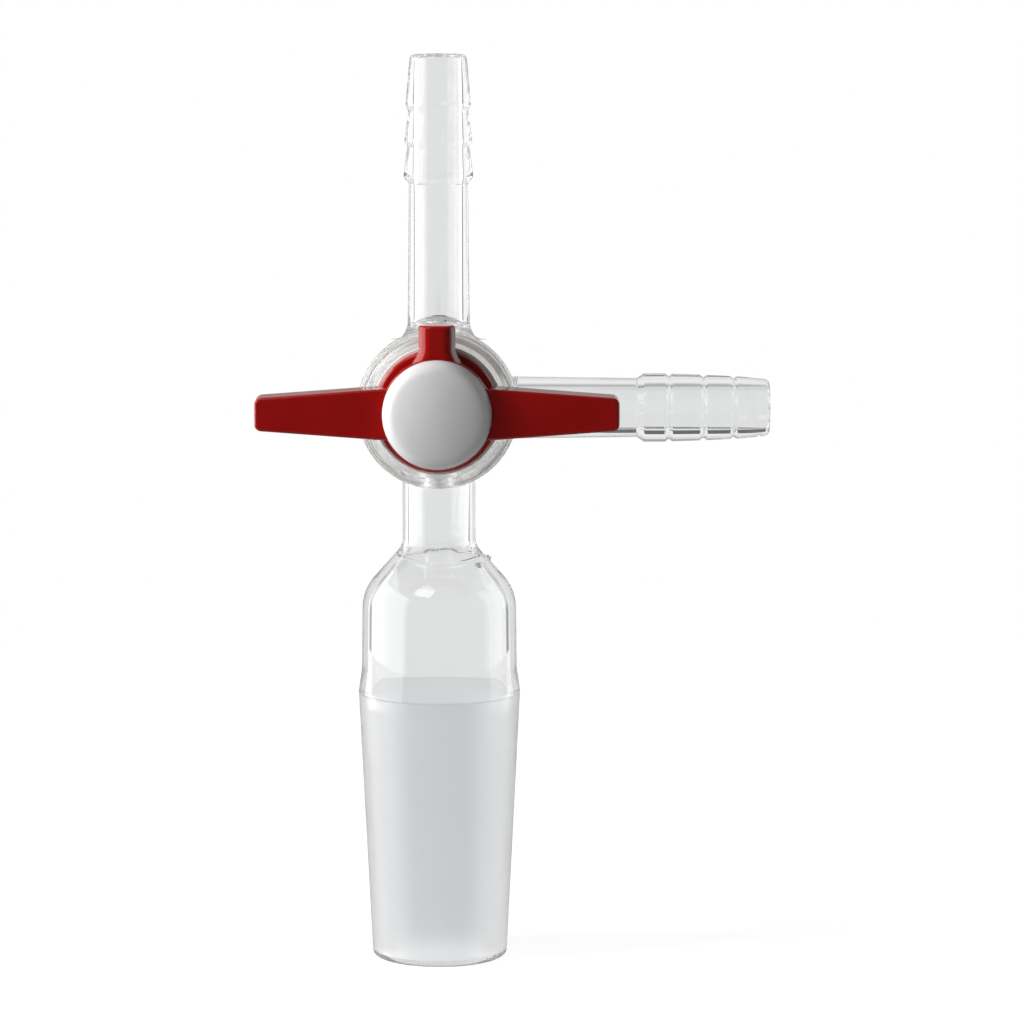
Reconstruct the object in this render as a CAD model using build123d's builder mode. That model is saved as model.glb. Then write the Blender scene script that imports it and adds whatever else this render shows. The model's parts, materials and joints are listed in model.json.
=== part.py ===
from build123d import *
import os

# Three-way stopcock with a ground cone: one blown glass body, a PTFE key that turns in its barrel,
# and a moulded tee handle. Millimetres. The origin is the centre of the ground line, where the
# cone is widest. +Z runs up the cone's axis, the side arm points along +X, and the key's axis
# runs along Y, with the handle on the -Y side.

# Ground cone, standard taper 24/40
cone_diameter = 24.0
cone_length = 40.0
cone_taper_share = 0.1
cone_wall = 2.0
cone_lip = 0.8

# Bulb, shoulder and neck blown above the cone
bead_diameter = 24.3
bead_height = 0.5
bulb_foot_diameter = 23.0
bulb_foot_height = 3.4
bulb_diameter = 22.7
bulb_height = 15.1
bulb_wall = 1.4
neck_diameter = 10.8
neck_height = 22.2
neck_wall = 1.4
bead_round = 0.3
bulb_foot_round = 5.0
shoulder_round = 8.0
neck_round = 3.0

# Tapered barrel that holds the key
barrel_height = 43.3
barrel_bore = 18.8
barrel_taper_share = 0.2
barrel_wall = 2.5
barrel_front = 12.0
barrel_rear = 20.0
barrel_lip = 1.1

# Hose arms, each with a row of blown barbs
arm_bore = 6.4
floor_round = 1.0
port_bore = 4.0
barb_count = 3
barb_crest_diameter = 9.6
barb_growth = 0.33
barb_drop = 1.0
barb_round = 0.35
rim_round = 0.8
arm_tip_diameter = 8.3
arm_tube_diameter = 8.7
arm_root_diameter = 9.2
top_arm_reach = 51.0
top_barb_first = 7.4
top_barb_pitch = 5.25
top_barb_notch = 0.8
top_root_round = 2.0
side_arm_reach = 48.8
side_arm_drop = 1.0
side_barb_first = 9.6
side_barb_pitch = 4.5
side_barb_notch = 0.4
side_root_round = 0.8
neck_root_round = 1.6

# PTFE key
key_clearance = 0.05
key_stand = 0.5
key_inset = 1.0
shank_side = 8.6
shank_length = 5.3
shank_corner = 0.8
tail_diameter = 8.0
tail_stand = 2.85
tail_flat = 0.8
tail_chamfer = 0.6

# Moulded tee handle
collar_diameter = 18.0
collar_thickness = 2.0
collar_round = 0.5
hub_diameter = 16.2
hub_depth = 6.2
socket_clearance = 0.05
wing_span = 52.6
wing_root_height = 7.4
wing_tip_height = 4.7
wing_setback = 0.6
wing_tip_round = 1.0
wing_root_round = 1.2
wing_edge_round = 0.4
pointer_width = 5.3
pointer_depth = 5.2
pointer_corner = 1.8
pointer_reach = 12.8
pointer_round = 0.5
pointer_flare = 2.2
pointer_flare_height = 3.1
pointer_flare_shares = ((0, 1), (0.55, 0.3), (1, 0))

# White cap that covers and holds the hub
cap_diameter = 15.8
cap_side = 1.8
cap_crown = 1.1
cap_edge_round = 2.2
stem_diameter = 4.8
stem_length = 5.2

# Washer, seal ring and nut on the key's tail
stack_gap = 0.05
tail_clearance = 0.05
washer_diameter = 15.0
washer_thickness = 1.5
washer_chamfer = 0.25
seal_section = 2.0
nut_diameter = 15.0
nut_length = 7.0
nut_flutes = 12
nut_flute_radius = 1.1
nut_flute_depth = 0.45
nut_chamfer = 0.7
nut_collar_length = 1.4

# One overrun serves every cut
overrun = 0.5

# Places worked out from the sizes above
barrel_plane = Plane.XY.offset(barrel_height)
barrel_axis = Axis((0, 0, barrel_height), (0, 1, 0))


def bore_radius(y):
    """Radius of the barrel's tapered bore, at a distance y behind the cone's axis."""
    return (barrel_bore - barrel_taper_share * (y + barrel_front)) / 2


def barrel_radius(y):
    """Outer radius of the barrel, which keeps an even wall round its bore."""
    return bore_radius(y) + barrel_wall


def front_plane(ahead):
    """Plane across the key's axis that faces the front, at a distance ahead of the cone's axis."""
    return Plane(origin=(0, -ahead, barrel_height), x_dir=(1, 0, 0), z_dir=(0, -1, 0))


def rear_plane(behind):
    """Plane across the key's axis that faces the rear, at a distance behind the cone's axis."""
    return Plane(origin=(0, behind, barrel_height), x_dir=(-1, 0, 0), z_dir=(0, 1, 0))


def barbed_outline(reach, first_crest, pitch, notch):
    """Corners of a hose arm, as (radius, distance along the arm), and each corner's rounding."""
    corners = [(0, reach), (arm_tip_diameter / 2, reach)]
    rounds = [rim_round]
    for index in range(barb_count):
        crest = (barb_crest_diameter + index * barb_growth) / 2
        crest_at = reach - first_crest - index * pitch
        last = index == barb_count - 1
        foot = arm_tube_diameter / 2 if last else crest - notch / 2
        corners += [(crest, crest_at), (foot, crest_at - barb_drop)]
        rounds += [barb_round, 0]
    corners.append((arm_root_diameter / 2, 0))
    return corners, rounds


cone_radius = cone_diameter / 2
cone_end_radius = cone_radius - cone_taper_share * cone_length / 2
inner_shoulder_round = shoulder_round - bulb_wall
inner_neck_round = neck_round + neck_wall
wall_top = barrel_radius(0)
side_height = barrel_height - side_arm_drop
top_arm = (
    front_plane(0),
    Axis.Z,
    barbed_outline(top_arm_reach, top_barb_first, top_barb_pitch, top_barb_notch),
    top_arm_reach,
    top_root_round,
)
side_arm = (
    Plane(origin=(0, 0, side_height), x_dir=(0, 1, 0), z_dir=(0, 0, -1)),
    Axis((0, 0, side_height), (1, 0, 0)),
    barbed_outline(side_arm_reach, side_barb_first, side_barb_pitch, side_barb_notch),
    side_arm_reach,
    side_root_round,
)

# Glass body: barrel, two hose arms and the stem with its ground cone, sealed into one blown piece
with BuildPart() as glass_body:
    with BuildSketch(barrel_plane):
        with BuildLine():
            Polyline(
                (0, -barrel_front),
                (barrel_radius(-barrel_front), -barrel_front),
                (barrel_radius(barrel_rear), barrel_rear),
                (0, barrel_rear),
                close=True,
            )
        make_face()
    revolve(axis=barrel_axis)

    # The arms and the stem meet the barrel in soft sealed roots
    for plane, axis, (corners, rounds), reach, root_round in (top_arm, side_arm):
        with BuildSketch(plane):
            with BuildLine():
                outline = FilletPolyline(*corners, radius=rounds)
                Polyline(outline @ 1, (0, 0), outline @ 0)
            make_face()
        revolve(axis=axis)
        fillet(glass_body.edges(Select.NEW), root_round)
    with BuildSketch(Plane.XZ):
        with BuildLine():
            outline = FilletPolyline(
                (0, -cone_length),
                (cone_end_radius, -cone_length),
                (cone_radius, 0),
                (bead_diameter / 2, bead_height),
                (bulb_foot_diameter / 2, bulb_foot_height),
                (bulb_diameter / 2, bulb_height),
                (neck_diameter / 2, neck_height),
                (neck_diameter / 2, barrel_height),
                radius=[cone_lip, 0, bead_round, bulb_foot_round, shoulder_round, neck_round],
            )
            Polyline(outline @ 1, (0, barrel_height), outline @ 0)
        make_face()
    revolve(axis=Axis.Z)
    fillet(glass_body.edges(Select.NEW), neck_root_round)

    # Hollow of the cone, bulb and neck
    with BuildSketch(Plane.XZ):
        with BuildLine():
            outline = FilletPolyline(
                (0, -cone_length),
                (cone_end_radius - cone_wall, -cone_length),
                (bulb_foot_diameter / 2 - bulb_wall, bulb_foot_height),
                (bulb_diameter / 2 - bulb_wall, bulb_height - bulb_wall / 2),
                (neck_diameter / 2 - neck_wall, neck_height - bulb_wall / 2),
                (neck_diameter / 2 - neck_wall, barrel_height - wall_top),
                (0, barrel_height - wall_top),
                radius=[0, bulb_foot_round, inner_shoulder_round, inner_neck_round, floor_round],
            )
            Line(outline @ 1, outline @ 0)
        make_face()
    revolve(axis=Axis.Z, mode=Mode.SUBTRACT)

    # Bores of the arms, which end on the barrel's wall
    for plane, axis, _, reach, _ in (top_arm, side_arm):
        with BuildSketch(plane):
            with BuildLine():
                outline = FilletPolyline(
                    (0, wall_top),
                    (arm_bore / 2, wall_top),
                    (arm_bore / 2, reach),
                    (0, reach),
                    radius=[floor_round, 0],
                )
                Line(outline @ 1, outline @ 0)
            make_face()
        revolve(axis=axis, mode=Mode.SUBTRACT)

    # Tapered bore for the key, and the three ports from it
    with BuildSketch(barrel_plane):
        with BuildLine():
            Polyline(
                (0, -barrel_front),
                (bore_radius(-barrel_front), -barrel_front),
                (bore_radius(barrel_rear), barrel_rear),
                (0, barrel_rear),
                close=True,
            )
        make_face()
    revolve(axis=barrel_axis, mode=Mode.SUBTRACT)
    port_depth = wall_top + overrun
    with BuildSketch(Plane.XY.offset(barrel_height)):
        Circle(port_bore / 2)
    extrude(amount=port_depth, both=True, mode=Mode.SUBTRACT)
    with BuildSketch(Plane.YZ.move(Location((0, 0, barrel_height)))):
        Circle(port_bore / 2)
    extrude(amount=port_depth, mode=Mode.SUBTRACT)

    # Fire-polished rims of the barrel
    rim_faces = glass_body.faces().filter_by(Axis.Y).sort_by(Axis.Y)
    fillet(rim_faces[0].edges() + rim_faces[-1].edges(), barrel_lip)
glass_body.part.label = "glass_body"

# Key: tapered plug with a tee bore, a square shank for the handle and a tail for the nut
key_front = barrel_front + key_stand
key_rear = barrel_rear - key_inset
washer_front = barrel_rear + stack_gap
seal_middle = washer_front + washer_thickness + stack_gap + seal_section / 2
nut_front = seal_middle + seal_section / 2 + stack_gap
tail_radius = tail_diameter / 2
tail_length = nut_front + nut_length + tail_stand - key_rear
shank_front = key_front + shank_length
with BuildPart() as key:
    with BuildSketch(barrel_plane):
        with BuildLine():
            Polyline(
                (0, -key_front),
                (bore_radius(-key_front) - key_clearance, -key_front),
                (bore_radius(key_rear) - key_clearance, key_rear),
                (tail_radius, key_rear),
                (tail_radius, key_rear + tail_length),
                (0, key_rear + tail_length),
                close=True,
            )
        make_face()
    revolve(axis=barrel_axis)
    chamfer(key.faces().sort_by(Axis.Y)[-1].edges(), tail_chamfer)
    with BuildSketch(rear_plane(key_rear)):
        with Locations((0, -tail_radius)):
            Rectangle(tail_diameter, 2 * tail_flat)
    extrude(amount=tail_length, mode=Mode.SUBTRACT)
    with BuildSketch(front_plane(key_front)):
        RectangleRounded(shank_side, shank_side, shank_corner)
    extrude(amount=shank_length)
    with BuildSketch(front_plane(shank_front)):
        Circle(stem_diameter / 2 + socket_clearance)
    extrude(amount=-stem_length, mode=Mode.SUBTRACT)
    with BuildSketch(Plane.YZ.move(Location((0, 0, barrel_height)))):
        Circle(port_bore / 2)
    extrude(amount=wall_top, both=True, mode=Mode.SUBTRACT)
    with BuildSketch(barrel_plane):
        Circle(port_bore / 2)
    extrude(amount=wall_top, mode=Mode.SUBTRACT)
key.part.label = "key"

# Handle: collar against the key, two tapered wings, and a pointer over the branch bore
collar_front = key_front + collar_thickness
cap_seat = key_front + hub_depth
hub_radius = hub_diameter / 2
half_span = wing_span / 2
wing_back = key_front + wing_setback
wing_front = cap_seat
pointer_middle = (wing_back + wing_front) / 2
with BuildPart() as handle:
    with BuildSketch(front_plane(wing_back)) as front_view:
        Circle(hub_radius)
        with BuildLine():
            Polyline(
                (-half_span, -wing_tip_height / 2),
                (-hub_radius, -wing_root_height / 2),
                (hub_radius, -wing_root_height / 2),
                (half_span, -wing_tip_height / 2),
                (half_span, wing_tip_height / 2),
                (hub_radius, wing_root_height / 2),
                (-hub_radius, wing_root_height / 2),
                (-half_span, wing_tip_height / 2),
                close=True,
            )
        make_face()
        tips = front_view.vertices().filter_by(lambda corner: abs(corner.X) > hub_radius + wing_root_round)
        fillet(tips, wing_tip_round)
        roots = front_view.vertices().filter_by(
            lambda corner: abs(Vector(corner.X, corner.Z - barrel_height).length - hub_radius) < overrun
        )
        fillet(roots, wing_root_round)
    extrude(amount=wing_front - wing_back)
    fillet(handle.edges(), wing_edge_round)

    # The pointer is a rounded post that flares into the hub
    flare_half_width = pointer_width / 2 + pointer_flare
    flare_foot = (hub_radius**2 - flare_half_width**2) ** 0.5 - overrun
    flare_top = flare_foot + pointer_flare_height
    for rise_share, flare_share in pointer_flare_shares:
        flare_width = pointer_width + 2 * flare_share * pointer_flare
        with BuildSketch(barrel_plane.offset(flare_foot + rise_share * pointer_flare_height)):
            with Locations((0, -pointer_middle)):
                RectangleRounded(flare_width, pointer_depth, pointer_corner)
    loft()
    with BuildSketch(barrel_plane.offset(flare_top)):
        with Locations((0, -pointer_middle)):
            RectangleRounded(pointer_width, pointer_depth, pointer_corner)
    extrude(amount=pointer_reach - flare_top)
    fillet(handle.faces().sort_by(Axis.Z)[-1].edges(), pointer_round)
    with BuildSketch(barrel_plane):
        with BuildLine():
            FilletPolyline(
                (0, -key_front),
                (collar_diameter / 2, -key_front),
                (collar_diameter / 2, -collar_front),
                (0, -collar_front),
                radius=[0, 0, collar_round, 0],
                close=True,
            )
        make_face()
    revolve(axis=barrel_axis)
    with BuildSketch(front_plane(key_front)):
        RectangleRounded(shank_side + 2 * socket_clearance, shank_side + 2 * socket_clearance, shank_corner)
    extrude(amount=shank_length + socket_clearance, mode=Mode.SUBTRACT)
    with BuildSketch(front_plane(cap_seat)):
        Circle(stem_diameter / 2 + socket_clearance)
    extrude(amount=-hub_depth, mode=Mode.SUBTRACT)
handle.part.label = "handle"

# Cap: a shallow dome that hides the hub, with a stem pressed through it into the key
cap_radius = cap_diameter / 2
cap_shoulder = cap_seat + cap_side
with BuildPart() as cap:
    with BuildSketch(barrel_plane):
        with BuildLine():
            Polyline(
                (0, -cap_shoulder - cap_crown),
                (0, stem_length - cap_seat),
                (stem_diameter / 2, stem_length - cap_seat),
                (stem_diameter / 2, -cap_seat),
                (cap_radius, -cap_seat),
                (cap_radius, -cap_shoulder),
            )
            dome_radius = (cap_radius**2 + cap_crown**2) / (2 * cap_crown)
            RadiusArc((cap_radius, -cap_shoulder), (0, -cap_shoulder - cap_crown), dome_radius)
        make_face()
    revolve(axis=barrel_axis)
    cap_sides = cap.faces().filter_by(GeomType.CYLINDER).sort_by(lambda face: face.radius)
    fillet(cap_sides[-1].edges().filter_by(GeomType.CIRCLE).sort_by(Axis.Y)[0], cap_edge_round)
cap.part.label = "cap"

# Washer keyed on the tail's flat, bearing on the barrel's rear rim
with BuildPart() as washer:
    with BuildSketch(rear_plane(washer_front)):
        Circle(washer_diameter / 2)
        Circle(tail_radius + tail_clearance, mode=Mode.SUBTRACT)
        with Locations((0, -tail_radius)):
            Rectangle(tail_diameter, 2 * (tail_flat - tail_clearance))
    extrude(amount=washer_thickness)
    chamfer(washer.edges().filter_by(GeomType.CIRCLE).sort_by(SortBy.RADIUS)[-2:], washer_chamfer)
washer.part.label = "washer"

# Rubber seal ring between the washer and the nut
with BuildPart() as seal_ring:
    with BuildSketch(barrel_plane):
        with Locations((tail_radius + tail_clearance + seal_section / 2, seal_middle)):
            Circle(seal_section / 2)
    revolve(axis=barrel_axis)
seal_ring.part.label = "seal_ring"

# Nut with a plain collar and a fluted grip, on the tail's fine thread
with BuildPart() as retaining_nut:
    with BuildSketch(rear_plane(nut_front)):
        Circle(nut_diameter / 2)
        Circle(tail_radius + tail_clearance, mode=Mode.SUBTRACT)
    extrude(amount=nut_length)
    chamfer(retaining_nut.faces().sort_by(Axis.Y)[-1].outer_wire().edges(), nut_chamfer)
    with BuildSketch(rear_plane(nut_front + nut_collar_length)):
        with PolarLocations(nut_diameter / 2 + nut_flute_radius - nut_flute_depth, nut_flutes):
            Circle(nut_flute_radius)
    extrude(amount=nut_length, mode=Mode.SUBTRACT)
retaining_nut.part.label = "retaining_nut"

os.makedirs("parts", exist_ok=True)
for piece in (glass_body, key, handle, cap, washer, seal_ring, retaining_nut):
    export_step(piece.part, f"parts/{piece.part.label}.step")
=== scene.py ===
import json
import math

import bmesh
import bpy
from mathutils import Matrix, Vector


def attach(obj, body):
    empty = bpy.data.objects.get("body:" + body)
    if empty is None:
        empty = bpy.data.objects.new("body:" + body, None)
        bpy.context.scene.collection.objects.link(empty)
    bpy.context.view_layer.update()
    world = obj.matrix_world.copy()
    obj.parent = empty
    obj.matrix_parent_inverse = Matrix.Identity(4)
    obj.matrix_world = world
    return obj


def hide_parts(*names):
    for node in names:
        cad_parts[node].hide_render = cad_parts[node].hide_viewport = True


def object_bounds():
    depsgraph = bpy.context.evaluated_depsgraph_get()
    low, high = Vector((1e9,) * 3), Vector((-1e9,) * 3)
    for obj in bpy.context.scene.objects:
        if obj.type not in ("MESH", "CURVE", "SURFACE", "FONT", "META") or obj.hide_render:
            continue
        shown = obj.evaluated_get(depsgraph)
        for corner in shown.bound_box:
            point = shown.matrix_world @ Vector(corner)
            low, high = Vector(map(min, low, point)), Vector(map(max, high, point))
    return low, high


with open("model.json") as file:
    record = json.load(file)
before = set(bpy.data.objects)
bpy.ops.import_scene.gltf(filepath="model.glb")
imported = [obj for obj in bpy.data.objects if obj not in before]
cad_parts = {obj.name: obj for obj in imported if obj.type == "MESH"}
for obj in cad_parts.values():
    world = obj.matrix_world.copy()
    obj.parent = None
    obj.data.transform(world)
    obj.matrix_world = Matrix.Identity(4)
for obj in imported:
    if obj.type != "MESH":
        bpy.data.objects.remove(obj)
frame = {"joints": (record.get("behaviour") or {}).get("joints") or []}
cad_low, cad_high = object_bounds()

# Glass body: one lampworked piece of borosilicate. Barrel, two hose arms, neck, bulb and cone are
# blown and sealed together, the cone is then ground to a standard taper and its end polished.
# The joints between tubes are soft flares, and every open rim is rounded in the flame.
mm = 0.001
key_axis_height = frame["joints"][0]["pos_m"][2]
glass_segments = 192
glass_face_length = 0.8 * mm

cone_radius = 12 * mm
cone_length = 40 * mm
cone_end_radius = 10 * mm
cone_wall = 2 * mm
polished_end = 1 * mm
grind_line = 0.25 * mm
bulb_foot_radius = 11.5 * mm
bulb_foot_height = 3.4 * mm
bulb_radius = 11.35 * mm
shoulder_height = 15.1 * mm
bulb_wall = 1.4 * mm
neck_radius = 5.4 * mm
neck_height = 21.8 * mm
neck_wall = 1.3 * mm

barrel_front = -12 * mm
barrel_rear = 20 * mm
barrel_bore_front = 9.4 * mm
barrel_taper = 0.1
barrel_wall = 2.5 * mm
barrel_lip = 1.1 * mm

arm_bore = 3.2 * mm
port_bore = 2 * mm
arm_tip_radius = 4.15 * mm
arm_tube_radius = 4.35 * mm
arm_root_radius = 4.6 * mm
barb_crest_radius = 4.8 * mm
barb_growth = 0.165 * mm
barb_drop = 1 * mm
barb_round = 0.45 * mm
rim_round = 0.8 * mm


def cone_surface(z):
    """Radius of the ground taper at a height."""
    return cone_radius + z * (cone_radius - cone_end_radius) / cone_length


def bore_radius(y):
    """Radius of the tapered bore at a place along the key's axis."""
    return barrel_bore_front - barrel_taper * (y - barrel_front)


def barrel_surface(y, across):
    """Distance of the barrel's outside from its axis plane, at a place along and across it."""
    return math.sqrt((bore_radius(y) + barrel_wall) ** 2 - across**2)


def rounded_outline(corners, arc_step=math.radians(7.5)):
    """Points of an outline of (radius, along, rounding) corners, with an arc at each rounded one."""
    points = []
    for index, (radius, along, rounding) in enumerate(corners):
        corner = Vector((radius, along))
        if not rounding:
            points.append(corner)
            continue
        back = (Vector(corners[index - 1][:2]) - corner).normalized()
        ahead = (Vector(corners[index + 1][:2]) - corner).normalized()
        half_angle = back.angle(ahead) / 2
        centre = corner + (back + ahead).normalized() * rounding / math.sin(half_angle)
        spoke = corner + back * rounding / math.tan(half_angle) - centre
        sweep = math.copysign(math.pi - 2 * half_angle, back.cross(ahead))
        steps = max(2, math.ceil(abs(sweep) / arc_step))
        for step in range(steps + 1):
            points.append(centre + Matrix.Rotation(-sweep * step / steps, 2) @ spoke)
    return points


def spun(points, place, segments, face_length=None, fine=(1, -1)):
    """Closed shape spun from an outline of (radius, along) points, with short faces in its fine stretch."""
    shape = bmesh.new()
    corners = [shape.verts.new((point.x, 0, point.y)) for point in points]
    for start, end in zip(corners, corners[1:]):
        shape.edges.new((start, end))
    for edge in shape.edges[:]:
        along = [vert.co.z for vert in edge.verts]
        if min(along) < fine[0] or max(along) > fine[1]:
            continue
        cuts = int(edge.calc_length() / face_length)
        if cuts:
            bmesh.ops.subdivide_edges(shape, edges=[edge], cuts=cuts)
    bmesh.ops.spin(
        shape,
        geom=shape.verts[:] + shape.edges[:],
        cent=(0, 0, 0),
        axis=(0, 0, 1),
        angle=2 * math.pi,
        steps=segments,
        use_merge=True,
    )
    bmesh.ops.remove_doubles(shape, verts=shape.verts[:], dist=0.0005 * mm)
    bmesh.ops.recalc_face_normals(shape, faces=shape.faces[:])
    shape.transform(place)
    return shape


def as_object(shape, name):
    """Object at the origin that holds a finished bmesh."""
    mesh = bpy.data.meshes.new(name)
    shape.to_mesh(mesh)
    shape.free()
    piece = bpy.data.objects.new(name, mesh)
    bpy.context.scene.collection.objects.link(piece)
    return piece


def combine(base, others, operation):
    """Joins or cuts the base with the others, and keeps only the base."""
    for other in others:
        step = base.modifiers.new(other.name, "BOOLEAN")
        step.operation = operation
        step.solver = "MANIFOLD"
        step.object = other
    result = base.evaluated_get(bpy.context.evaluated_depsgraph_get())
    base.data = bpy.data.meshes.new_from_object(result)
    base.modifiers.clear()
    for other in others:
        bpy.data.objects.remove(other)


def shade_smooth(piece, sharp_angle):
    """Smooth shading that breaks at edges sharper than the angle."""
    piece.data.polygons.foreach_set("use_smooth", [True] * len(piece.data.polygons))
    piece.data.set_sharp_from_angle(angle=sharp_angle)


upward = Matrix.Translation((0, 0, key_axis_height))
rearward = upward @ Matrix.Rotation(-math.pi / 2, 4, "X")
side_drop = 1 * mm
sideward = Matrix.Translation((0, 0, key_axis_height - side_drop)) @ Matrix.Rotation(math.pi / 2, 4, "Y")
wall_top = barrel_surface(0, 0)
seal_sink = 0.12 * mm
seal_rise = 0.04 * mm
seal_skirt = 0.5 * mm
root_end = wall_top + 9.5 * mm
root_end_radius = arm_tube_radius + 0.1 * mm


def barbed_arm(reach, first_crest, pitch, notch, root_round):
    """Outline of a hose arm from its flare on the barrel out to its rounded rim, with three barbs."""
    skirt = arm_root_radius + root_round + seal_skirt
    corners = [
        (0, wall_top - seal_sink, 0),
        (skirt, wall_top - seal_sink, 0),
        (arm_root_radius, wall_top + seal_rise, root_round),
        (root_end_radius, root_end, 0),
    ]
    for index in (2, 1, 0):
        crest = barb_crest_radius + index * barb_growth
        crest_at = reach - first_crest - index * pitch
        foot = arm_tube_radius if index == 2 else crest - notch
        corners += [(foot, crest_at - barb_drop, barb_round), (crest, crest_at, barb_round)]
    corners += [(arm_tip_radius, reach, rim_round), (0, reach, 0)]
    return rounded_outline(corners)


def seat_on_barrel(shape, direction, fade_length):
    """Slides the foot of a tube along its own axis, so that its flare lies on the round barrel."""
    foot = wall_top - seal_sink
    for vert in shape.verts:
        out = vert.co - Vector((0, 0, key_axis_height))
        along = out.dot(direction)
        across = out.x if abs(direction.z) else out.z
        fade = max(0, 1 - max(0, along - foot) / fade_length)
        surface = barrel_surface(out.y, min(abs(across), wall_top / 2))
        vert.co += direction * (surface - wall_top) * fade * fade * (3 - 2 * fade)


barrel_outline = rounded_outline([
    (0, barrel_front, 0),
    (bore_radius(barrel_front) + barrel_wall, barrel_front, barrel_lip),
    (bore_radius(barrel_rear) + barrel_wall, barrel_rear, barrel_lip),
    (0, barrel_rear, 0),
])
barrel = spun(barrel_outline, rearward, glass_segments)

top_reach = 51 * mm
top_outline = barbed_arm(
    top_reach, first_crest=7.4 * mm, pitch=5.25 * mm, notch=0.4 * mm, root_round=2 * mm
)
top_arm = spun(top_outline, upward, glass_segments, glass_face_length, (0, root_end))
arm_fade = 9 * mm
seat_on_barrel(top_arm, Vector((0, 0, 1)), arm_fade)

side_reach = 48.8 * mm
side_skirt = 1.3 * mm
side_root_round = 0.8 * mm
side_tube_end = 29.2 * mm
lobe_start = 30.3 * mm
lobe_radius = 5.05 * mm
lobe_round = 0.35 * mm
side_grooves = (33.95 * mm, 39.05 * mm, 43.5 * mm)
groove_radii_mm = ((5.05, 4.62, 5), (4.85, 4.45, 4.82), (4.66, 4.3, 4.62))
groove_reach = 0.55 * mm
groove_round = 0.15 * mm
groove_ridge = 0.25 * mm
side_corners = [
    (0, wall_top - seal_sink, 0),
    (arm_root_radius + side_skirt, wall_top - seal_sink, 0),
    (arm_root_radius, wall_top + seal_rise, side_root_round),
    (root_end_radius, root_end, 0),
    (arm_tube_radius, side_tube_end, 0.4 * mm),
    (lobe_radius, lobe_start, 0.7 * mm),
]
for groove, (before, bottom, after) in zip(side_grooves, groove_radii_mm):
    side_corners += [
        (before * mm, groove - groove_reach, lobe_round),
        (bottom * mm, groove, groove_round),
        (after * mm, groove + groove_reach, lobe_round),
    ]
side_corners += [(arm_tip_radius, side_reach, rim_round), (0, side_reach, 0)]
side_arm = spun(rounded_outline(side_corners), sideward, glass_segments, glass_face_length, (0, root_end))
seat_on_barrel(side_arm, Vector((1, 0, 0)), arm_fade)

neck_root_round = 1.6 * mm
neck_fade = 6 * mm
neck_fine = (23 * mm, 40 * mm)
neck_skirt = neck_radius + neck_root_round + seal_skirt
stem_outline = rounded_outline([
    (0, -cone_length, 0),
    (cone_end_radius, -cone_length, 0.8 * mm),
    (cone_surface(polished_end - cone_length), polished_end - cone_length, 0),
    (cone_surface(-grind_line), -grind_line, 0),
    (cone_radius, 0, 0),
    (bulb_foot_radius, bulb_foot_height, 5 * mm),
    (bulb_radius, shoulder_height, 7 * mm),
    (neck_radius, neck_height, 3 * mm),
    (neck_radius, key_axis_height - wall_top - seal_rise, neck_root_round),
    (neck_skirt, key_axis_height - wall_top + seal_sink, 0),
    (0, key_axis_height - wall_top + seal_sink, 0),
])
stem = spun(stem_outline, Matrix.Identity(4), glass_segments, glass_face_length, neck_fine)
seat_on_barrel(stem, Vector((0, 0, -1)), neck_fade)

glass = as_object(barrel, "glass_body_blown")
tubes = [as_object(top_arm, "top_arm"), as_object(side_arm, "side_arm"), as_object(stem, "stem")]
combine(glass, tubes, "UNION")

cut_run = 1 * mm
bore_flare = 1.6 * mm
bore_flare_depth = 0.8 * mm
bore_round = 1.2 * mm
mouth_flare = 0.9 * mm
mouth_depth = 0.4 * mm
mouth_round = 0.7 * mm
bore_outline = rounded_outline([
    (0, barrel_front - cut_run, 0),
    (bore_radius(barrel_front) + bore_flare, barrel_front - cut_run, 0),
    (bore_radius(barrel_front), barrel_front + bore_flare_depth, bore_round),
    (bore_radius(barrel_rear), barrel_rear - bore_flare_depth, bore_round),
    (bore_radius(barrel_rear) + bore_flare, barrel_rear + cut_run, 0),
    (0, barrel_rear + cut_run, 0),
])
hollows = [as_object(spun(bore_outline, rearward, glass_segments), "key_bore")]
for place, reach, grooves, name in (
    (upward, top_reach, (), "top_bore"),
    (sideward, side_reach, side_grooves, "side_bore"),
):
    arm_hollow = [(0, wall_top, 0), (arm_bore, wall_top, 1 * mm)]
    for groove in grooves:
        arm_hollow += [
            (arm_bore, groove - groove_reach, 0.3 * mm),
            (arm_bore - groove_ridge, groove, 0.2 * mm),
            (arm_bore, groove + groove_reach, 0.3 * mm),
        ]
    arm_hollow += [
        (arm_bore, reach - mouth_depth, mouth_round),
        (arm_bore + mouth_flare, reach + mouth_depth, 0),
        (0, reach + mouth_depth, 0),
    ]
    hollows.append(as_object(spun(rounded_outline(arm_hollow), place, glass_segments), name))
neck_bore = neck_radius - neck_wall
seal_height = 20 * mm
seal_reach = 2 * mm
seal_face_length = 0.3 * mm
seal_fine = (17 * mm, 23 * mm)
stem_hollow = rounded_outline([
    (0, -cone_length - cut_run, 0),
    (cone_end_radius - 0.5 * mm, -cone_length - cut_run, 0),
    (cone_end_radius - cone_wall, -cone_length + 0.7 * mm, 1.2 * mm),
    (cone_radius - cone_wall + 0.3 * mm, -2 * mm, 5 * mm),
    (bulb_foot_radius - bulb_wall, bulb_foot_height, 5 * mm),
    (bulb_radius - bulb_wall, shoulder_height - bulb_wall / 2, 5.6 * mm),
    (6.6 * mm, seal_height - 1 * mm, 0),
    (5.65 * mm, seal_height - 0.2 * mm, 0.3 * mm),
    (5.73 * mm, seal_height + 0.15 * mm, 0.15 * mm),
    (neck_bore, neck_height, 2.4 * mm),
    (neck_bore, key_axis_height - wall_top, 1 * mm),
    (0, key_axis_height - wall_top, 0),
])
stem_space = spun(stem_hollow, Matrix.Identity(4), glass_segments, seal_face_length, seal_fine)
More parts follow.
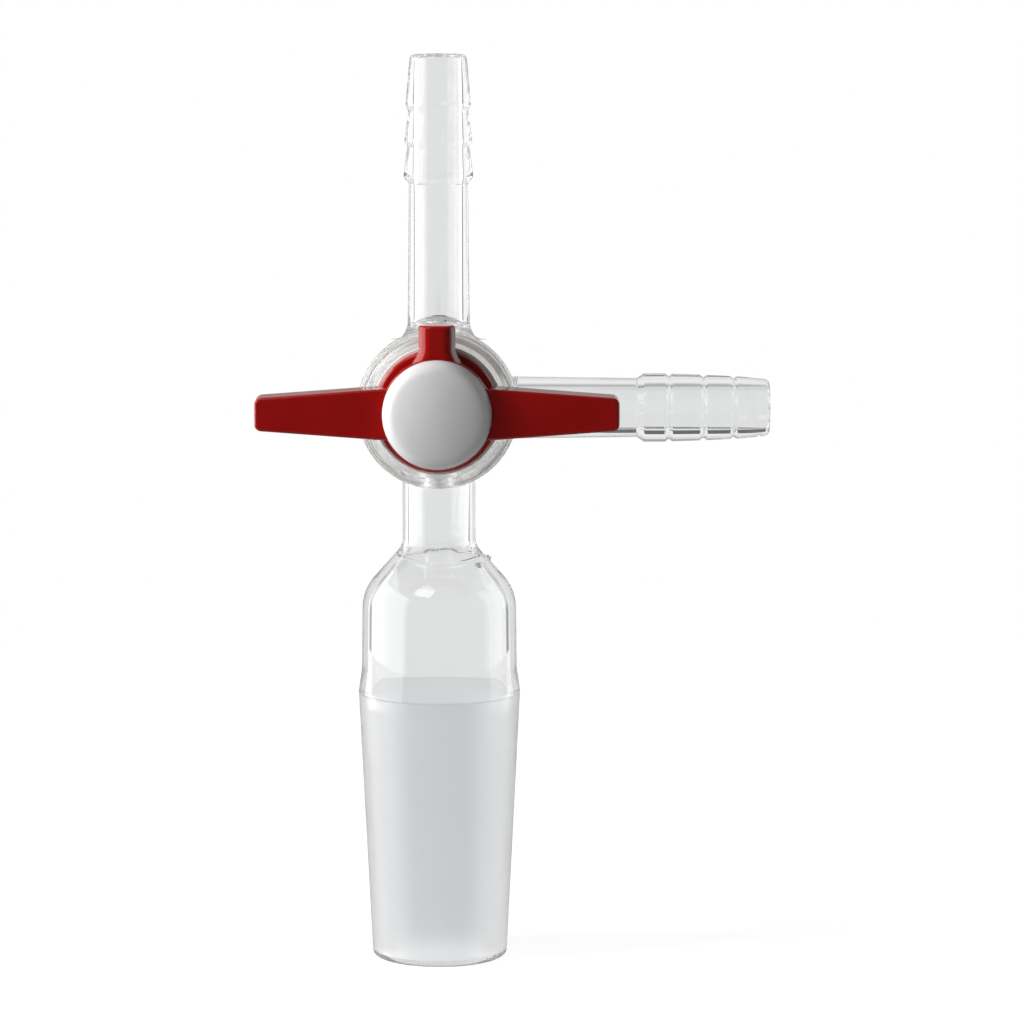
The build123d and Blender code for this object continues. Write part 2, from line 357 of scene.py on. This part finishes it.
for vert in stem_space.verts:
    turn = math.atan2(vert.co.y, vert.co.x)
    near_seal = max(0, 1 - abs(vert.co.z - seal_height) / seal_reach)
    wander = 0.3 + 0.5 * math.sin(turn) + 0.07 * math.sin(2 * turn + 0.6) + 0.05 * math.sin(7 * turn)
    vert.co.z += wander * mm * near_seal
hollows.append(as_object(stem_space, "stem_hollow"))
port_reach = wall_top + 0.4 * mm


def round_cut(name, place, radius, start, end):
    """Straight round rod for cutting a bore, from start to end along its place's upward axis."""
    section = [Vector((0, start)), Vector((radius, start)), Vector((radius, end)), Vector((0, end))]
    return as_object(spun(section, place, 48), name)


hollows.append(round_cut("upright_ports", upward, port_bore, -port_reach, port_reach))
hollows.append(round_cut("side_port", sideward, port_bore, 0, port_reach))
combine(hollows[0], hollows[1:], "UNION")
combine(glass, hollows[:1], "DIFFERENCE")
drop_place = (7.1 * mm, 0.4 * mm, 19.7 * mm)
drop_radius = 0.58 * mm
bubble_place = (5.5 * mm, -3.6 * mm, 19 * mm)
bubble_radius = 0.6 * mm
seal_marks = []
for name, place, radius in (
    ("seal_drop", drop_place, drop_radius),
    ("seal_bubble", bubble_place, bubble_radius),
):
    mark = bmesh.new()
    bmesh.ops.create_icosphere(mark, subdivisions=4, radius=radius, matrix=Matrix.Translation(place))
    seal_marks.append(as_object(mark, name))
combine(glass, seal_marks[:1], "UNION")
combine(glass, seal_marks[1:], "DIFFERENCE")
shade_smooth(glass, math.radians(40))

mottle = bpy.data.node_groups.new("mottle", "ShaderNodeTree")
mottle.interface.new_socket("Scale", in_out="INPUT", socket_type="NodeSocketFloat")
mottle.interface.new_socket("Low", in_out="INPUT", socket_type="NodeSocketFloat")
mottle.interface.new_socket("High", in_out="INPUT", socket_type="NodeSocketFloat")
mottle.interface.new_socket("Value", in_out="OUTPUT", socket_type="NodeSocketFloat")
group_in = mottle.nodes.new("NodeGroupInput")
group_out = mottle.nodes.new("NodeGroupOutput")
coordinates = mottle.nodes.new("ShaderNodeTexCoord")
cloud = mottle.nodes.new("ShaderNodeTexNoise")
cloud.inputs["Detail"].default_value = 3
levels = mottle.nodes.new("ShaderNodeMapRange")
levels.inputs["From Min"].default_value = 0.3
levels.inputs["From Max"].default_value = 0.7
mottle.links.new(coordinates.outputs["Object"], cloud.inputs["Vector"])
mottle.links.new(group_in.outputs["Scale"], cloud.inputs["Scale"])
mottle.links.new(cloud.outputs["Fac"], levels.inputs["Value"])
mottle.links.new(group_in.outputs["Low"], levels.inputs["To Min"])
mottle.links.new(group_in.outputs["High"], levels.inputs["To Max"])
mottle.links.new(levels.outputs["Result"], group_out.inputs["Value"])


def mottled(material, scale, low, high):
    """Mottle group placed in a material, giving a value that drifts between low and high."""
    node = material.node_tree.nodes.new("ShaderNodeGroup")
    node.node_tree = mottle
    node.inputs["Scale"].default_value = scale
    node.inputs["Low"].default_value = low
    node.inputs["High"].default_value = high
    return node.outputs["Value"]


def glass_material(name, face_tint, painted_edge_tint, edge_start, edge_end=1):
    """Glass that greys a little through its wall, with a tint painted in where the wall is seen edge on:
    painted shade if darker, painted sheen if lighter.
    """
    material = bpy.data.materials.new(name)
    material.use_nodes = True
    nodes = material.node_tree.nodes
    links = material.node_tree.links
    shader = nodes["Principled BSDF"]
    shader.inputs["IOR"].default_value = 1.474
    shader.inputs["Roughness"].default_value = 0
    shader.inputs["Transmission Weight"].default_value = 1
    facing = nodes.new("ShaderNodeLayerWeight")
    facing.inputs["Blend"].default_value = 0.5
    edge = nodes.new("ShaderNodeMapRange")
    edge.interpolation_type = "SMOOTHSTEP"
    edge.inputs["From Min"].default_value = edge_start
    edge.inputs["From Max"].default_value = edge_end
    tint = nodes.new("ShaderNodeMix")
    tint.data_type = "RGBA"
    tint.inputs["A"].default_value = (*face_tint, 1)
    tint.inputs["B"].default_value = (*painted_edge_tint, 1)
    links.new(facing.outputs["Facing"], edge.inputs["Value"])
    links.new(edge.outputs["Result"], tint.inputs["Factor"])
    links.new(tint.outputs["Result"], shader.inputs["Base Color"])
    return material


# Clear glass: its grey edge-on tint is painted shade that draws dark outlines along the walls.
clear_glass = glass_material("clear_glass", (0.875, 0.88, 0.88), (0.5, 0.51, 0.51), 0.45)
# Ground glass: its face tint is painted shade that greys the taper where it faces the viewer, and its
# edge-on tint a painted sheen that whitens its sides.
ground_glass = glass_material("ground_glass", (0.745, 0.765, 0.785), (0.98, 0.98, 0.98), 0.06, 0.27)
frosting = ground_glass.node_tree.nodes["Principled BSDF"]
frosting.inputs["Transmission Weight"].default_value = 0.92
grain_height = ground_glass.node_tree.nodes.new("ShaderNodeBump")
grain_height.inputs["Strength"].default_value = 0.25
grain_height.inputs["Distance"].default_value = 0.02 * mm
ground_glass.node_tree.links.new(mottled(ground_glass, 5000, 0, 1), grain_height.inputs["Height"])
ground_glass.node_tree.links.new(grain_height.outputs["Normal"], frosting.inputs["Normal"])
ground_glass.node_tree.links.new(mottled(ground_glass, 700, 0.3, 0.37), frosting.inputs["Roughness"])
# The cone's inside whitens edge on, a painted sheen.
cone_inside = glass_material("cone_inside", (0.9, 0.905, 0.91), (0.97, 0.97, 0.97), 0.2)
# The thick barrel glass greys a little edge on, painted shade.
thick_glass = glass_material("thick_glass", (0.97, 0.975, 0.97), (0.85, 0.855, 0.85), 0.6)
# A darker grey band along the top of the grind, painted shade for the dark line where the taper meets the
# foot.
grind_edge = glass_material("grind_edge", (0.62, 0.63, 0.64), (0.7, 0.7, 0.7), 0.3)
grind_edge.node_tree.nodes["Principled BSDF"].inputs["Roughness"].default_value = 0.3
# The barrel's rim greys a little edge on, painted shade, and is slightly rough.
barrel_rim = glass_material("barrel_rim", (0.97, 0.975, 0.97), (0.85, 0.855, 0.85), 0.6)
barrel_rim.node_tree.nodes["Principled BSDF"].inputs["Roughness"].default_value = 0.25
# The bubble's walls are tinted dark grey, painted shade for the dark rim an air bubble shows in glass.
dark_bubble = glass_material("dark_bubble", (0.25, 0.25, 0.26), (0.2, 0.2, 0.2), 0.3)
finishes = (clear_glass, ground_glass, cone_inside, thick_glass, grind_edge, barrel_rim, dark_bubble)
glass.data.materials.clear()
for finish in finishes:
    glass.data.materials.append(finish)
cone_skin = 0.3 * mm
barrel_skin = 0.05 * mm
bubble_skin = 0.012 * mm
rim_end = barrel_front + barrel_lip + 0.2 * mm
for face in glass.data.polygons:
    middle = face.center
    on_taper = polished_end - cone_length < middle.z < 0
    from_key_axis = math.hypot(middle.x, middle.z - key_axis_height)
    if on_taper and math.hypot(middle.x, middle.y) < cone_surface(middle.z) - cone_skin:
        finish = cone_inside
    elif on_taper:
        finish = grind_edge if middle.z > -grind_line else ground_glass
    elif from_key_axis < bore_radius(middle.y) + barrel_wall + barrel_skin:
        finish = barrel_rim if middle.y < rim_end else thick_glass
    elif (middle - Vector(bubble_place)).length < bubble_radius + bubble_skin:
        finish = dark_bubble
    else:
        finish = clear_glass
    face.material_index = finishes.index(finish)
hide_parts("glass_body")
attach(glass, "glass")

# Key: a tapered plug turned from white PTFE, lapped until it seats in the barrel with no gap.
# A square shank at the front drives it, a tee of round bores crosses it, and its tail is threaded
# for the nut, with one flat that keys the washer.
key_front = barrel_front - 0.5 * mm
key_rear = barrel_rear - 1 * mm
key_seat = 0.01 * mm
tail_radius = 4 * mm
tail_end = 33.5 * mm
thread_pitch = 0.8 * mm
thread_depth = 0.35 * mm
thread_root = tail_radius - thread_depth
tail_chamfer = 0.4 * mm
key_outline = rounded_outline([
    (0, key_front, 0),
    (bore_radius(key_front) + key_seat, key_front, 0.15 * mm),
    (bore_radius(key_rear) + key_seat, key_rear, 0.2 * mm),
    (thread_root, key_rear, 0),
    (thread_root, tail_end - tail_chamfer, 0),
    (thread_root - tail_chamfer, tail_end, 0),
    (0, tail_end, 0),
])
key = as_object(spun(key_outline, rearward, glass_segments), "key_plug")
shank_width = 8.6 * mm
shank_round = 0.8 * mm
shank_front = key_front - 5.3 * mm
shank = bmesh.new()
bmesh.ops.create_cube(shank, size=shank_width)
long_edges = [edge for edge in shank.edges if abs(edge.verts[0].co.y - edge.verts[1].co.y) > shank_round]
bmesh.ops.bevel(
    shank, geom=long_edges, offset=shank_round, affect="EDGES", segments=4, profile=0.5, material=-1
)
bmesh.ops.translate(shank, verts=shank.verts[:], vec=(0, shank_front + shank_width / 2, key_axis_height))
thread_sink = 0.1 * mm
thread_start = 21.8 * mm
thread_turns = 14
turn_steps = 48
thread = bmesh.new()
tooth = [
    thread.verts.new((thread_root - thread_sink, 0, 0)),
    thread.verts.new((thread_root - thread_sink / 2, 0, thread_sink)),
    thread.verts.new((tail_radius, 0, (thread_pitch - thread_sink) / 2)),
    thread.verts.new((tail_radius, 0, (thread_pitch + thread_sink) / 2)),
    thread.verts.new((thread_root - thread_sink / 2, 0, thread_pitch - thread_sink)),
    thread.verts.new((thread_root - thread_sink, 0, thread_pitch)),
]
thread.faces.new(tooth)
bmesh.ops.spin(
    thread,
    geom=thread.faces[:] + thread.edges[:] + thread.verts[:],
    cent=(0, 0, 0),
    axis=(0, 0, 1),
    dvec=(0, 0, thread_pitch * 0.999 / turn_steps),
    angle=2 * math.pi * thread_turns,
    steps=turn_steps * thread_turns,
)
bmesh.ops.recalc_face_normals(thread, faces=thread.faces[:])
thread.transform(rearward @ Matrix.Translation((0, 0, thread_start)))
combine(key, [as_object(shank, "shank"), as_object(thread, "thread")], "UNION")

stem_hole_radius = 2.45 * mm
stem_hole_end = shank_front + 5.2 * mm
across_key = sideward @ Matrix.Translation((-side_drop, 0, 0))
key_cuts = [
    round_cut("cross_bore", across_key, port_bore, -wall_top, wall_top),
    round_cut("branch_bore", upward, port_bore, 0, wall_top),
    round_cut("stem_hole", rearward, stem_hole_radius, shank_front - cut_run, stem_hole_end),
]
flat_block = 20 * mm
flat_level = key_axis_height - 3.2 * mm
flat = bmesh.new()
bmesh.ops.create_cube(flat, size=flat_block)
bmesh.ops.translate(
    flat, verts=flat.verts[:], vec=(0, key_rear + flat_block / 2, flat_level - flat_block / 2)
)
key_cuts.append(as_object(flat, "tail_flat"))
combine(key, key_cuts, "DIFFERENCE")
shade_smooth(key, math.radians(35))
ptfe = bpy.data.materials.new("turned_ptfe")
ptfe.use_nodes = True
ptfe_shader = ptfe.node_tree.nodes["Principled BSDF"]
ptfe_shader.inputs["Base Color"].default_value = (0.88, 0.88, 0.865, 1)
ptfe_shader.inputs["IOR"].default_value = 1.35
ptfe.node_tree.links.new(mottled(ptfe, 400, 0.38, 0.5), ptfe_shader.inputs["Roughness"])
key.data.materials.clear()
key.data.materials.append(ptfe)
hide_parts("key")
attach(key, "turning_key")


# Handle: a tee moulded in one piece of deep red plastic, with a collar against the barrel, two
# tapered wings and a short upright arm that shows where the branch bore points.
def moulded_plastic(name, shades, roughness, specular):
    """Moulded plastic with a slow drift of shade and gloss and a faint skin of fine grain."""
    material = bpy.data.materials.new(name)
    material.use_nodes = True
    nodes = material.node_tree.nodes
    links = material.node_tree.links
    shader = nodes["Principled BSDF"]
    shader.inputs["Specular IOR Level"].default_value = specular
    shade = nodes.new("ShaderNodeMix")
    shade.data_type = "RGBA"
    shade.inputs["A"].default_value = (*shades[0], 1)
    shade.inputs["B"].default_value = (*shades[1], 1)
    links.new(mottled(material, 150, 0, 1), shade.inputs["Factor"])
    links.new(shade.outputs["Result"], shader.inputs["Base Color"])
    links.new(mottled(material, 500, *roughness), shader.inputs["Roughness"])
    skin = nodes.new("ShaderNodeBump")
    skin.inputs["Strength"].default_value = 0.12
    skin.inputs["Distance"].default_value = 0.02 * mm
    links.new(mottled(material, 3000, 0, 1), skin.inputs["Height"])
    links.new(skin.outputs["Normal"], shader.inputs["Normal"])
    return material


def finish_node(name, material):
    """Gives a CAD node that keeps its own shape a finished material."""
    node = bpy.data.objects[name]
    for place in node.material_slots:
        place.material = material


red_plastic = moulded_plastic("red_plastic", ((0.35, 0.004, 0.003), (0.4, 0.005, 0.004)), (0.1, 0.15), 0.6)
finish_node("handle", red_plastic)

# Cap: a shallow satin disc of white plastic, spun as a low dome with a broad rounded edge and
# pressed into the hub by the stem at its back, where it hides the seat of the handle.
forward = upward @ Matrix.Rotation(math.pi / 2, 4, "X")
cap_radius = 7.9 * mm
cap_seat = 18.7 * mm
cap_crown = 1.1 * mm
cap_top = cap_seat + 1.8 * mm + cap_crown
dome_radius = (cap_radius**2 + cap_crown**2) / (2 * cap_crown)
cap_stem_radius = 2.4 * mm
cap_stem_end = cap_seat - 5.2 * mm
cap_corners = [
    (0, cap_stem_end, 0),
    (cap_stem_radius, cap_stem_end, 0.3 * mm),
    (cap_stem_radius, cap_seat, 0),
    (cap_radius, cap_seat, 0.2 * mm),
    (cap_radius, cap_top - cap_crown, 2.2 * mm),
]
dome_rings = 12
ring_pitch = 0.48 * mm
for ring in range(dome_rings, -1, -1):
    radius = ring * ring_pitch
    cap_corners.append((radius, cap_top - dome_radius + math.sqrt(dome_radius**2 - radius**2), 0))
cap = as_object(spun(rounded_outline(cap_corners), forward, 128), "cap_moulded")
shade_smooth(cap, math.radians(40))
white_plastic = moulded_plastic("white_plastic", ((0.8, 0.8, 0.795), (0.84, 0.84, 0.835)), (0.4, 0.5), 0.4)
cap.data.materials.append(white_plastic)
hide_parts("cap")
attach(cap, "turning_key")

# Washer: a ring of PTFE keyed on the tail's flat, so that it turns with the key and never loosens
# the nut. It bears on the rear rim of the barrel.
finish_node("washer", ptfe)

# Seal ring: a moulded ring of black rubber, slipped over the tail and squeezed between the washer
# and the nut. Its spring keeps the key drawn tight into the barrel as the parts wear.
rubber = moulded_plastic("black_rubber", ((0.012, 0.012, 0.012), (0.02, 0.02, 0.02)), (0.5, 0.65), 0.4)
finish_node("seal_ring", rubber)

# Retaining nut: moulded in the handle's red plastic with a fluted grip, and screwed on the tail's
# thread. It pulls the key home and is backed off when the stopcock is taken apart.
finish_node("retaining_nut", red_plastic)

# Studio: a round sheet of plain paper in a white surround. Clear glass sees a dark gap to each side
# of the surround and a dark card on the paper behind the side arm, so that its walls show as lines.
# A softbox high at the front left, a side light and two tall panels light the part.
floor_mesh = bmesh.new()
bmesh.ops.create_circle(floor_mesh, cap_ends=True, segments=96, radius=0.3)
bmesh.ops.translate(floor_mesh, verts=floor_mesh.verts[:], vec=(0, 0, cad_low.z))
floor = as_object(floor_mesh, "floor")


def feed(tree, socket, value):
    """Links an input to an output socket, or sets it to a number."""
    if isinstance(value, bpy.types.NodeSocket):
        tree.links.new(value, socket)
    else:
        socket.default_value = value


def reckon(tree, operation, *values):
    """Output of a Math node fed by sockets or numbers."""
    node = tree.nodes.new("ShaderNodeMath")
    node.operation = operation
    for socket, value in zip(node.inputs, values):
        feed(tree, socket, value)
    return node.outputs[0]


def grade(tree, value, start, end, low, high, interpolation="SMOOTHSTEP"):
    """Level that goes from low to high while a value goes from start to end."""
    node = tree.nodes.new("ShaderNodeMapRange")
    node.interpolation_type = interpolation
    names = ("Value", "From Min", "From Max", "To Min", "To Max")
    for name, level in zip(names, (value, start, end, low, high)):
        feed(tree, node.inputs[name], level)
    return node.outputs["Result"]


def choose(tree, factor, off, on):
    """Level between off and on, by a factor."""
    node = tree.nodes.new("ShaderNodeMix")
    for name, level in (("Factor", factor), ("A", off), ("B", on)):
        feed(tree, node.inputs[name], level)
    return node.outputs["Result"]


def mix_shaders(tree, factor, off, on):
    """Output of a Mix Shader node between two shaders, by a factor."""
    node = tree.nodes.new("ShaderNodeMixShader")
    for socket, source in zip(node.inputs, (factor, off, on)):
        tree.links.new(source, socket)
    return node.outputs[0]


front_reflection = 0.06
rear_reflection = 0.4
paper = bpy.data.materials.new("paper")
paper.use_nodes = True
tree = paper.node_tree
tree.nodes.clear()
path = tree.nodes.new("ShaderNodeLightPath").outputs
seen_in_glass = reckon(tree, "MAXIMUM", path["Is Glossy Ray"], path["Is Transmission Ray"])
scattered = reckon(tree, "SUBTRACT", 1, path["Is Singular Ray"])
diffuse = tree.nodes.new("ShaderNodeBsdfDiffuse")
diffuse.inputs["Color"].default_value = (0.6, 0.6, 0.6, 1)
half_lit = tree.nodes.new("ShaderNodeBsdfDiffuse")
half_lit.inputs["Color"].default_value = (0.25, 0.25, 0.25, 1)
glow = tree.nodes.new("ShaderNodeEmission")
glow.inputs["Strength"].default_value = 0.93
lit = tree.nodes.new("ShaderNodeAddShader")
tree.links.new(half_lit.outputs[0], lit.inputs[0])
tree.links.new(glow.outputs[0], lit.inputs[1])
by_camera = mix_shaders(tree, path["Is Camera Ray"], diffuse.outputs[0], lit.outputs[0])
coordinates = tree.nodes.new("ShaderNodeTexCoord")
split = tree.nodes.new("ShaderNodeSeparateXYZ")
tree.links.new(coordinates.outputs["Object"], split.inputs[0])
off_card = scattered
for name, centre, inner, outer in (("X", 0.046, 0.017, 0.025), ("Y", 0.075, 0.032, 0.05)):
    from_centre = reckon(tree, "SUBTRACT", split.outputs[name], centre)
    from_card = grade(tree, reckon(tree, "ABSOLUTE", from_centre), inner, outer, 0, 1)
    off_card = reckon(tree, "MAXIMUM", off_card, from_card)
card_shade = grade(tree, off_card, 0, 1, 0.1, 1, "LINEAR")
ahead = grade(tree, split.outputs["Y"], -0.2, 0, front_reflection, rear_reflection)
unlit_front = choose(tree, path["Is Reflection Ray"], 1, ahead)
white = tree.nodes.new("ShaderNodeEmission")
tree.links.new(reckon(tree, "MULTIPLY", card_shade, unlit_front), white.inputs["Strength"])
by_glass = mix_shaders(tree, seen_in_glass, by_camera, white.outputs[0])
out = tree.nodes.new("ShaderNodeOutputMaterial")
tree.links.new(by_glass, out.inputs[0])
floor.data.materials.append(paper)

gap_turn = math.radians(49)
gap_half = math.radians(8)
gap_fade = math.radians(14)
gap_dark = 0.2
world = bpy.data.worlds.new("studio")
bpy.context.scene.world = world
world.use_nodes = True
tree = world.node_tree
path = tree.nodes.new("ShaderNodeLightPath").outputs
seen_in_glass = reckon(tree, "MAXIMUM", path["Is Glossy Ray"], path["Is Transmission Ray"])
scattered = reckon(tree, "SUBTRACT", 1, path["Is Singular Ray"])
direction = tree.nodes.new("ShaderNodeTexCoord")
split = tree.nodes.new("ShaderNodeSeparateXYZ")
tree.links.new(direction.outputs["Generated"], split.inputs[0])
height = split.outputs["Z"]
ceiling = grade(tree, height, 0.5, 0.85, 1, 0.45)
turn = reckon(tree, "ABSOLUTE", reckon(tree, "ARCTAN2", split.outputs["X"], split.outputs["Y"]))
from_gap = reckon(tree, "ABSOLUTE", reckon(tree, "SUBTRACT", turn, gap_turn))
above_gap = grade(tree, height, -0.12, -0.03, gap_dark, 0.6, "LINEAR")
below_gap = grade(tree, height, -0.3, -0.21, 0.9, gap_dark, "LINEAR")
gap_level = reckon(tree, "MAXIMUM", reckon(tree, "MAXIMUM", above_gap, below_gap), scattered)
gap = grade(tree, from_gap, gap_half, gap_fade, gap_level, 1)
panels = reckon(tree, "MULTIPLY", ceiling, gap)
ahead = grade(tree, split.outputs["Y"], -0.7, -0.1, front_reflection, rear_reflection)
unlit_front = choose(tree, path["Is Reflection Ray"], 1, ahead)
surround = reckon(tree, "MULTIPLY", panels, unlit_front)
ambient = choose(tree, seen_in_glass, 0.05, surround)
background = tree.nodes["Background"]
background.inputs["Color"].default_value = (1, 1, 1, 1)
tree.links.new(choose(tree, path["Is Camera Ray"], ambient, 1), background.inputs["Strength"])


def softbox(name, place, aim, size, radiance):
    """Rectangular soft light at a place, aimed at a point, with an even radiance over its face."""
    lamp = bpy.data.lights.new(name, "AREA")
    lamp.shape = "RECTANGLE"
    lamp.size = size[0]
    lamp.size_y = size[1]
    lamp.energy = radiance * math.pi * size[0] * size[1]
    stand = bpy.data.objects.new(name, lamp)
    stand.location = place
    stand.rotation_euler = (Vector(aim) - Vector(place)).to_track_quat("-Z", "Y").to_euler()
    stand.visible_camera = False
    bpy.context.scene.collection.objects.link(stand)
    return stand


softbox("high_softbox", (-0.345, -0.504, 0.83), (0, 0, 0.04), (0.43, 0.31), 3.4)
left_panel = softbox("left_panel", (-0.85, 0.08, 0.2), (0, 0.08, 0.2), (1.4, 1), 2.2)
right_panel = softbox("right_panel", (0.85, 0.3, 0.2), (0, 0.3, 0.2), (0.9, 1), 1.3)
left_panel.visible_diffuse = False
right_panel.visible_diffuse = False
side_light = softbox("side_light", (-0.45, -0.119, 0.238), (0, -0.019, 0.043), (0.26, 0.26), 17)
side_light.visible_glossy = False
side_light.visible_transmission = False
bpy.context.scene.cycles.max_bounces = 32
bpy.context.scene.cycles.transmission_bounces = 32
bpy.context.scene.cycles.glossy_bounces = 32

camera_data = bpy.data.cameras.new("camera")
camera_data.lens = 167.6
camera_data.sensor_width = 36
camera_data.clip_end = 20
camera = bpy.data.objects.new("camera", camera_data)
camera.location = (10.8 * mm, -0.7, 120.5 * mm)
camera.rotation_euler = (math.radians(82.37), 0, 0)
bpy.context.scene.collection.objects.link(camera)
bpy.context.scene.camera = camera
bpy.context.scene.view_settings.view_transform = "Standard"
